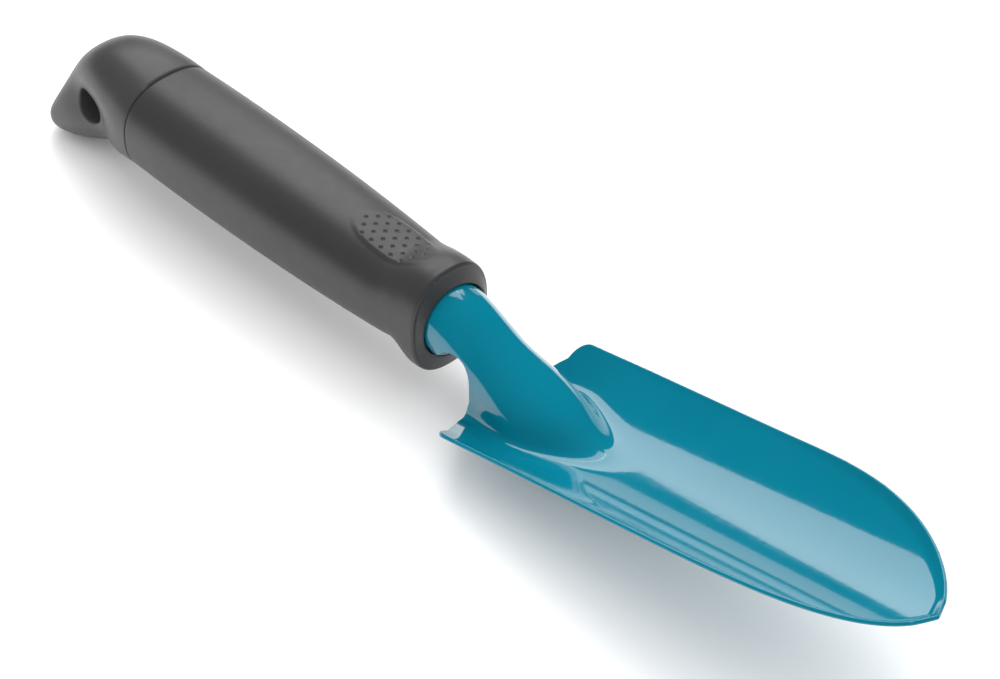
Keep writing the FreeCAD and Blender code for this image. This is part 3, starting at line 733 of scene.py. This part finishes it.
def cap_side(x, z):
    """Half-width of the cap at a point of its side view, found by halving along the cap."""
    low, high = 0.02, 0.97
    halvings, nearly_edge = 40, 0.999
    for _ in range(halvings):
        part = 0.5 * (low + high)
        top, under = cap_top(part), cap_under(part)
        middle, reach = 0.5 * (top + under), 0.5 * (top - under)
        if (x - middle[0]) * reach[1] - (z - middle[1]) * reach[0] < 0.0:
            low = part
        else:
            high = part
    share = min(math.hypot(x - middle[0], z - middle[1]) / math.hypot(*reach), nearly_edge)
    half = cap_half_width(part) * (1.0 - share ** GRIP_ROUND) ** (1.0 / GRIP_ROUND)
    return float(dish(np.array([[x, half, z]]))[0, 1])


def cap_skin(angles):
    """Rings of the cap's skin, from the round of its front edge to just short of the tail."""
    rings = []
    front = SEAM - 0.5 * SEAM_GAP
    for turn in quarter_turns(5)[:-1]:
        shrink = SEAM_ROUND * (1.0 - math.sin(turn))
        high = GRIP_SEAM_HIGH - shrink
        wide = GRIP_SEAM_HIGH / GRIP_FLATNESS - shrink
        edge = ring((front, high), (front, -high), wide, GRIP_ROUND, angles)
        edge[:, 0] = front - SEAM_ROUND * (1.0 - math.cos(turn))
        rings.append(edge)
    # half a millimetre, as a part of the cap's length
    half_mm = 0.5 / 47.0
    tail_start, tail_parts = 0.86, 0.1385
    parts = [half_mm * 1.6] + list(np.linspace(half_mm * 3.5, tail_start, 70))
    parts += list(tail_start + tail_parts * np.sin(quarter_turns(22)[1:]))
    for part in parts:
        section = ring(cap_top(part), cap_under(part), cap_half_width(part), GRIP_ROUND, angles)
        rings.append(dish(section))
    return np.array(rings)


def hole_blocks(skin):
    """The blocks of the skin's grid that make way for the hang hole, on the left and the right.

    Gives each block's rim as grid positions in order, and the set of the cells inside both.
    """
    count = skin.shape[1]
    near = np.hypot(skin[:, :, 0] + HOLE_BACK, skin[:, :, 2] + HOLE_DROP) < PATCH_REACH
    left = near & (skin[:, :, 1] > 0.0)
    rows = np.flatnonzero(left.any(axis=1))
    columns = np.flatnonzero(left.any(axis=0))
    columns = columns - count * (columns > count // 2)
    first_row, last_row = rows.min(), rows.max()
    low, high = columns.min(), columns.max()

    rim = [(first_row, c) for c in range(low, high)]
    rim += [(r, high) for r in range(first_row, last_row)]
    rim += [(last_row, c) for c in range(high, low, -1)]
    rim += [(r, low) for r in range(last_row, first_row, -1)]
    left_rim = [(r, c % count) for r, c in rim]

    def mirrored(column):
        return (count // 2 - column) % count

    right_rim = [(r, mirrored(c)) for r, c in left_rim]
    inside = set()
    for r in range(first_row, last_row):
        for c in range(low, high):
            inside.add((r, c % count))
            inside.add((r, mirrored(c + 1)))
    return left_rim, right_rim, inside


def hole_patch(rim, side):
    """Rings from the rim of a block of the skin in to the hang hole, on one side of the cap."""
    hole = np.array([-HOLE_BACK, -HOLE_DROP])
    angle = np.arctan2(rim[:, 2] - hole[1], rim[:, 0] - hole[0])
    round_hole = np.stack([np.cos(angle), np.sin(angle)], axis=-1)
    circle = hole + (HOLE_RADIUS + HOLE_EDGE) * round_hole
    rings = []
    for part in (0.2, 0.4, 0.58, 0.74, 0.88, 1.0):
        flat = rim[:, [0, 2]] + part * (circle - rim[:, [0, 2]])
        width = np.array([side * cap_side(x, z) for x, z in flat])
        rings.append(np.stack([flat[:, 0], width, flat[:, 1]], axis=-1))
    lip_y = rings[-1][:, 1]
    for turn in quarter_turns(7)[1:]:
        flat = hole + (HOLE_RADIUS + HOLE_EDGE * (1.0 - math.sin(turn))) * round_hole
        y = lip_y - side * HOLE_EDGE * (1.0 - math.cos(turn))
        rings.append(np.stack([flat[:, 0], y, flat[:, 1]], axis=-1))
    return rings


def skin_faces(rows, count, left_out):
    """Quads over the skin's grid, but for the cells that are left out."""
    faces = []
    for r in range(rows - 1):
        for c in range(count):
            if (r, c) not in left_out:
                here, below, after = r * count, (r + 1) * count, (c + 1) % count
                faces.append([here + c, below + c, below + after, here + after])
    return faces


def ladder_faces(outer, inner):
    """Quads between two closed loops of point numbers."""
    faces = []
    for at in range(len(outer)):
        after = (at + 1) % len(outer)
        faces.append([outer[at], inner[at], inner[after], outer[after]])
    return faces


def spigot_rings(angles):
    """Rings of the hidden spigot: its outside, its end and its hollow."""
    front = SEAM - 0.5 * SEAM_GAP
    end, inner = front + SPIGOT_LENGTH, SPIGOT_RADIUS - SPIGOT_WALL
    steps = ((front, SPIGOT_RADIUS), (end, SPIGOT_RADIUS), (end, inner), (front - HOLLOW_DEEP, inner))
    return [ring((x, radius), (x, -radius), radius, ELLIPSE, angles) for x, radius in steps]


def build_cap():
    """End cap: bent skin with dished sides, hang hole with round edges, hidden spigot."""
    count, tail_reach = 120, 0.02
    angles = np.linspace(0.0, 2.0 * math.pi, count, endpoint=False)
    skin = cap_skin(angles)
    left_rim, right_rim, inside = hole_blocks(skin)
    faces = skin_faces(len(skin), count, inside)
    points = list(skin.reshape(-1, 3))

    tail = len(points)
    last = tail - count
    points.append(np.array([CAP_TAIL[0] - tail_reach, 0.0, CAP_TAIL[1]]))
    for c in range(count):
        faces.append([last + c, tail, last + (c + 1) % count])

    chains = []
    for rim, side in ((left_rim, 1.0), (right_rim, -1.0)):
        chain = [[r * count + c for r, c in rim]]
        for band in hole_patch(np.array([skin[r, c] for r, c in rim]), side):
            chain.append(list(range(len(points), len(points) + len(band))))
            points.extend(band)
        chains.append(chain)
    through = chains[0] + chains[1][::-1]
    for outer, inner in zip(through, through[1:]):
        faces += ladder_faces(outer, inner)

    before = 0
    for band in spigot_rings(angles):
        faces += band_faces(before, len(points), count)
        before = len(points)
        points.extend(band)
    faces.append([before + c for c in range(count)])
    return make_object("bent_cap", np.array(points), faces)


# ---------------------------------------------------------------- materials

PAINT_DARK = (0.0006, 0.150, 0.222)
PAINT_LIGHT = (0.0010, 0.166, 0.242)
# paler turquoise painted along the blade's convex edges as a highlight
PAINT_EDGE_HIGHLIGHT = (0.035, 0.300, 0.370)
GRIP_DARK = (0.031, 0.031, 0.032)
GRIP_LIGHT = (0.036, 0.036, 0.037)
CAP_DARK = (0.040, 0.040, 0.041)
CAP_LIGHT = (0.046, 0.046, 0.047)
CORE_DARK = (0.012, 0.012, 0.013)
CORE_LIGHT = (0.018, 0.018, 0.020)
FLOOR_DARK = (0.86, 0.86, 0.86)
FLOOR_LIGHT = (0.88, 0.88, 0.88)


def new_material(name):
    """A node material, with its tree and its shader."""
    material = bpy.data.materials.new(name)
    material.use_nodes = True
    tree = material.node_tree
    return material, tree, tree.nodes["Principled BSDF"]


def add_node(tree, kind, settings=None, inputs=None):
    """A node with the given settings and input values."""
    node = tree.nodes.new(kind)
    for key, value in (settings or {}).items():
        setattr(node, key, value)
    for key, value in (inputs or {}).items():
        node.inputs[key].default_value = value
    return node


def noise(tree, scale, detail=3.0, roughness=0.5):
    """Noise fixed to the piece."""
    place = add_node(tree, "ShaderNodeTexCoord")
    texture = add_node(tree, "ShaderNodeTexNoise", None,
                       {"Scale": scale, "Detail": detail, "Roughness": roughness})
    tree.links.new(place.outputs["Object"], texture.inputs["Vector"])
    return texture.outputs["Fac"]


def mapped(tree, value, low, high, from_low=0.25, from_high=0.75):
    """A value between from_low and from_high, as noise is, as a number between low and high."""
    node = add_node(tree, "ShaderNodeMapRange", None,
                    {"From Min": from_low, "From Max": from_high, "To Min": low, "To Max": high})
    tree.links.new(value, node.inputs["Value"])
    return node.outputs["Result"]


def socket_of(sockets, name, kind):
    """The socket of this name and kind: a mix node has several of one name."""
    return next(socket for socket in sockets if socket.name == name and socket.type == kind)


def mixed_colour(tree, share, first, second):
    """Mixes two colours, each a plain (r, g, b) or another node's output."""
    node = add_node(tree, "ShaderNodeMix", {"data_type": "RGBA"})
    for name, colour in (("A", first), ("B", second)):
        socket = socket_of(node.inputs, name, "RGBA")
        if isinstance(colour, tuple):
            socket.default_value = (*colour, 1.0)
        else:
            tree.links.new(colour, socket)
    tree.links.new(share, socket_of(node.inputs, "Factor", "VALUE"))
    return socket_of(node.outputs, "Result", "RGBA")


def arithmetic(tree, operation, first, second):
    """Adds or multiplies two outputs."""
    node = add_node(tree, "ShaderNodeMath", {"operation": operation})
    tree.links.new(first, node.inputs[0])
    tree.links.new(second, node.inputs[1])
    return node.outputs["Value"]


def painted_edge_highlight(tree, most):
    """0 on open surfaces, patchily up to most along convex edges: the mask of a highlight painted on
    them.
    """
    geometry = add_node(tree, "ShaderNodeNewGeometry")
    edge = mapped(tree, geometry.outputs["Pointiness"], 0.0, 1.0, 0.52, 0.60)
    patches = mapped(tree, noise(tree, 190.0, 4.0), 0.0, most, 0.36, 0.62)
    return arithmetic(tree, "MULTIPLY", edge, patches)


def bump(tree, layers, shader):
    """Bump from (height value, distance in metres, strength) layers, one on top of another."""
    below = None
    for height, distance, strength in layers:
        node = add_node(tree, "ShaderNodeBump", None, {"Distance": distance, "Strength": strength})
        tree.links.new(height, node.inputs["Height"])
        if below is not None:
            tree.links.new(below, node.inputs["Normal"])
        below = node.outputs["Normal"]
    tree.links.new(below, shader.inputs["Normal"])


def paint_material():
    """Glossy turquoise powder coat: faint orange peel, slight cloudiness, and a painted highlight of
    paler turquoise along convex edges, which are also rougher.
    """
    material, tree, shader = new_material("turquoise_powder_coat")
    cloud = mapped(tree, noise(tree, 28.0, 2.0), 0.0, 1.0)
    colour = mixed_colour(tree, cloud, PAINT_DARK, PAINT_LIGHT)
    # painted highlight: convex edges get paler turquoise in patches, and more roughness
    edge_highlight = painted_edge_highlight(tree, 0.4)
    colour = mixed_colour(tree, edge_highlight, colour, PAINT_EDGE_HIGHLIGHT)
    tree.links.new(colour, shader.inputs["Base Color"])
    rough = mapped(tree, noise(tree, 160.0, 3.0), 0.08, 0.12)
    tree.links.new(arithmetic(tree, "ADD", rough, edge_highlight), shader.inputs["Roughness"])
    shader.inputs["Coat Weight"].default_value = 0.6
    shader.inputs["Coat Roughness"].default_value = 0.04
    shader.inputs["IOR"].default_value = 1.5
    orange_peel = (noise(tree, 420.0, 2.0), 0.00006, 0.35)
    fine_grain = (noise(tree, 2600.0, 2.0), 0.00002, 0.3)
    bump(tree, [orange_peel, fine_grain], shader)
    return material


def moulded_material(name, dark, light, rough_low, rough_high, grain):
    """Satin dark grey moulded surface with a fine spark-eroded grain and a painted highlight of lighter
    grey along convex edges.
    """
    material, tree, shader = new_material(name)
    cloud = mapped(tree, noise(tree, 22.0, 3.0), 0.0, 1.0)
    colour = mixed_colour(tree, cloud, dark, light)
    # painted highlight: convex edges get twice the light grey, in patches
    edge_highlight = painted_edge_highlight(tree, 0.5)
    colour = mixed_colour(tree, edge_highlight, colour, tuple(2.0 * part for part in light))
    tree.links.new(colour, shader.inputs["Base Color"])
    rough = mapped(tree, noise(tree, 300.0, 3.0), rough_low, rough_high)
    tree.links.new(rough, shader.inputs["Roughness"])
    shader.inputs["IOR"].default_value = 1.48
    fine_grain = (noise(tree, grain, 3.0, 0.6), 0.00008, 0.35)
    waviness = (noise(tree, 60.0, 2.0), 0.0001, 0.04)
    bump(tree, [fine_grain, waviness], shader)
    return material


def floor_material():
    """Plain pale matt floor, very slightly clouded."""
    material, tree, shader = new_material("pale_floor")
    shade = mapped(tree, noise(tree, 3.0, 2.0), 0.0, 1.0)
    colour = mixed_colour(tree, shade, FLOOR_DARK, FLOOR_LIGHT)
    tree.links.new(colour, shader.inputs["Base Color"])
    shader.inputs["Roughness"].default_value = 0.9
    shader.inputs["Specular IOR Level"].default_value = 0.1
    return material


# ---------------------------------------------------------------- stage

FLOOR_HALF = 12.0
FLOOR_BELOW = 0.0003
STAGE_MIDDLE = Vector((0.20, 0.0, 0.0))
DIFFUSE_SKY = 1.2
MIRRORED_SKY = 0.012

# name, azimuth and elevation in degrees, distance, width and height in metres, watts, mirrored
LIGHTS = (
    ("reflected_box", 144.5, 38.5, 1.3, 0.90, 0.64, 4.9, True),
    ("neck_box", 147.0, 58.0, 1.3, 0.62, 0.36, 1.9, True),
    ("low_strip", 130.0, 10.0, 1.3, 0.80, 0.28, 0.65, True),
    ("key_light", 135.0, 45.0, 1.4, 0.9, 0.9, 5.0, False),
    ("top_light", -30.0, 82.0, 1.4, 0.9, 0.9, 2.0, False),
)

CAMERA_PLACE = (0.6804, -0.4763, 0.6064)
CAMERA_AZIMUTH = math.radians(47.49)
CAMERA_ELEVATION = math.radians(40.33)
CAMERA_LENS = 129.0
CAMERA_SENSOR = 36.0


def build_floor():
    """A wide floor just below the lowest point of the tool."""
    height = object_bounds()[0][2] - FLOOR_BELOW
    mesh = bpy.data.meshes.new("floor")
    corners = [(x * FLOOR_HALF, y * FLOOR_HALF, height) for x, y in ((-1, -1), (1, -1), (1, 1), (-1, 1))]
    mesh.from_pydata(corners, [], [(0, 1, 2, 3)])
    floor = bpy.data.objects.new("floor", mesh)
    bpy.context.scene.collection.objects.link(floor)
    floor.data.materials.append(floor_material())


def soft_box(name, azimuth, elevation, distance, width, height, power, mirrored):
    """An area light that faces the stage's middle; shiny surfaces show it only if mirrored."""
    turn, lift = math.radians(azimuth), math.radians(elevation)
    level = math.cos(lift)
    away = Vector((level * math.cos(turn), level * math.sin(turn), math.sin(lift)))
    light = bpy.data.lights.new(name, "AREA")
    light.shape = "RECTANGLE"
    light.size, light.size_y = width, height
    light.energy = power
    lamp = bpy.data.objects.new(name, light)
    lamp.location = STAGE_MIDDLE + away * distance
    lamp.rotation_euler = (-away).to_track_quat("-Z", "Y").to_euler()
    lamp.visible_glossy = mirrored
    bpy.context.scene.collection.objects.link(lamp)


def build_sky():
    """Even white light all round, which shiny surfaces reflect as almost black."""
    world = bpy.data.worlds.new("studio")
    bpy.context.scene.world = world
    world.use_nodes = True
    tree = world.node_tree
    sky = tree.nodes["Background"]
    sky.inputs["Color"].default_value = (1.0, 1.0, 1.0, 1.0)
    path = add_node(tree, "ShaderNodeLightPath")
    strength = mapped(tree, path.outputs["Is Glossy Ray"], DIFFUSE_SKY, MIRRORED_SKY, 0.0, 1.0)
    tree.links.new(strength, sky.inputs["Strength"])


def build_lights():
    """Soft boxes and sky, shown without a tone curve."""
    for light in LIGHTS:
        soft_box(*light)
    build_sky()
    bpy.context.scene.view_settings.view_transform = "Standard"


def build_camera():
    """Looks down the tool from ahead of its tip, the right side nearer."""
    right = Vector((math.cos(CAMERA_AZIMUTH), math.sin(CAMERA_AZIMUTH), 0.0))
    level = Vector((math.sin(CAMERA_AZIMUTH), -math.cos(CAMERA_AZIMUTH), 0.0))
    upright = Vector((0.0, 0.0, math.sin(CAMERA_ELEVATION)))
    back = level * math.cos(CAMERA_ELEVATION) + upright
    up = back.cross(right)
    lens = bpy.data.cameras.new("camera")
    lens.lens = CAMERA_LENS
    lens.sensor_width = CAMERA_SENSOR
    camera = bpy.data.objects.new("camera", lens)
    turn = Matrix((right, up, back)).transposed().to_4x4()
    camera.matrix_world = Matrix.Translation(CAMERA_PLACE) @ turn
    bpy.context.scene.collection.objects.link(camera)
    bpy.context.scene.camera = camera


# ---------------------------------------------------------------- put together

def set_material(piece, material):
    """Gives the piece this one material."""
    piece.data.materials.clear()
    piece.data.materials.append(material)


def place_piece(piece, node, material):
    """Shows the piece in place of its CAD node, on the row's one body."""
    set_material(piece, material)
    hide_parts(node)
    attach(piece, "root")


grip_rubber = moulded_material("soft_grip_rubber", GRIP_DARK, GRIP_LIGHT, 0.37, 0.43, 900.0)
cap_plastic = moulded_material("cap_plastic", CAP_DARK, CAP_LIGHT, 0.37, 0.43, 1300.0)
core_plastic = moulded_material("moulded_core", CORE_DARK, CORE_LIGHT, 0.42, 0.5, 1800.0)

place_piece(build_blade(), "blade", paint_material())
place_piece(build_sleeve(), "grip_sleeve", grip_rubber)
place_piece(build_cap(), "end_cap", cap_plastic)
set_material(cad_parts["grip_core"], core_plastic)

build_floor()
build_lights()
build_camera()
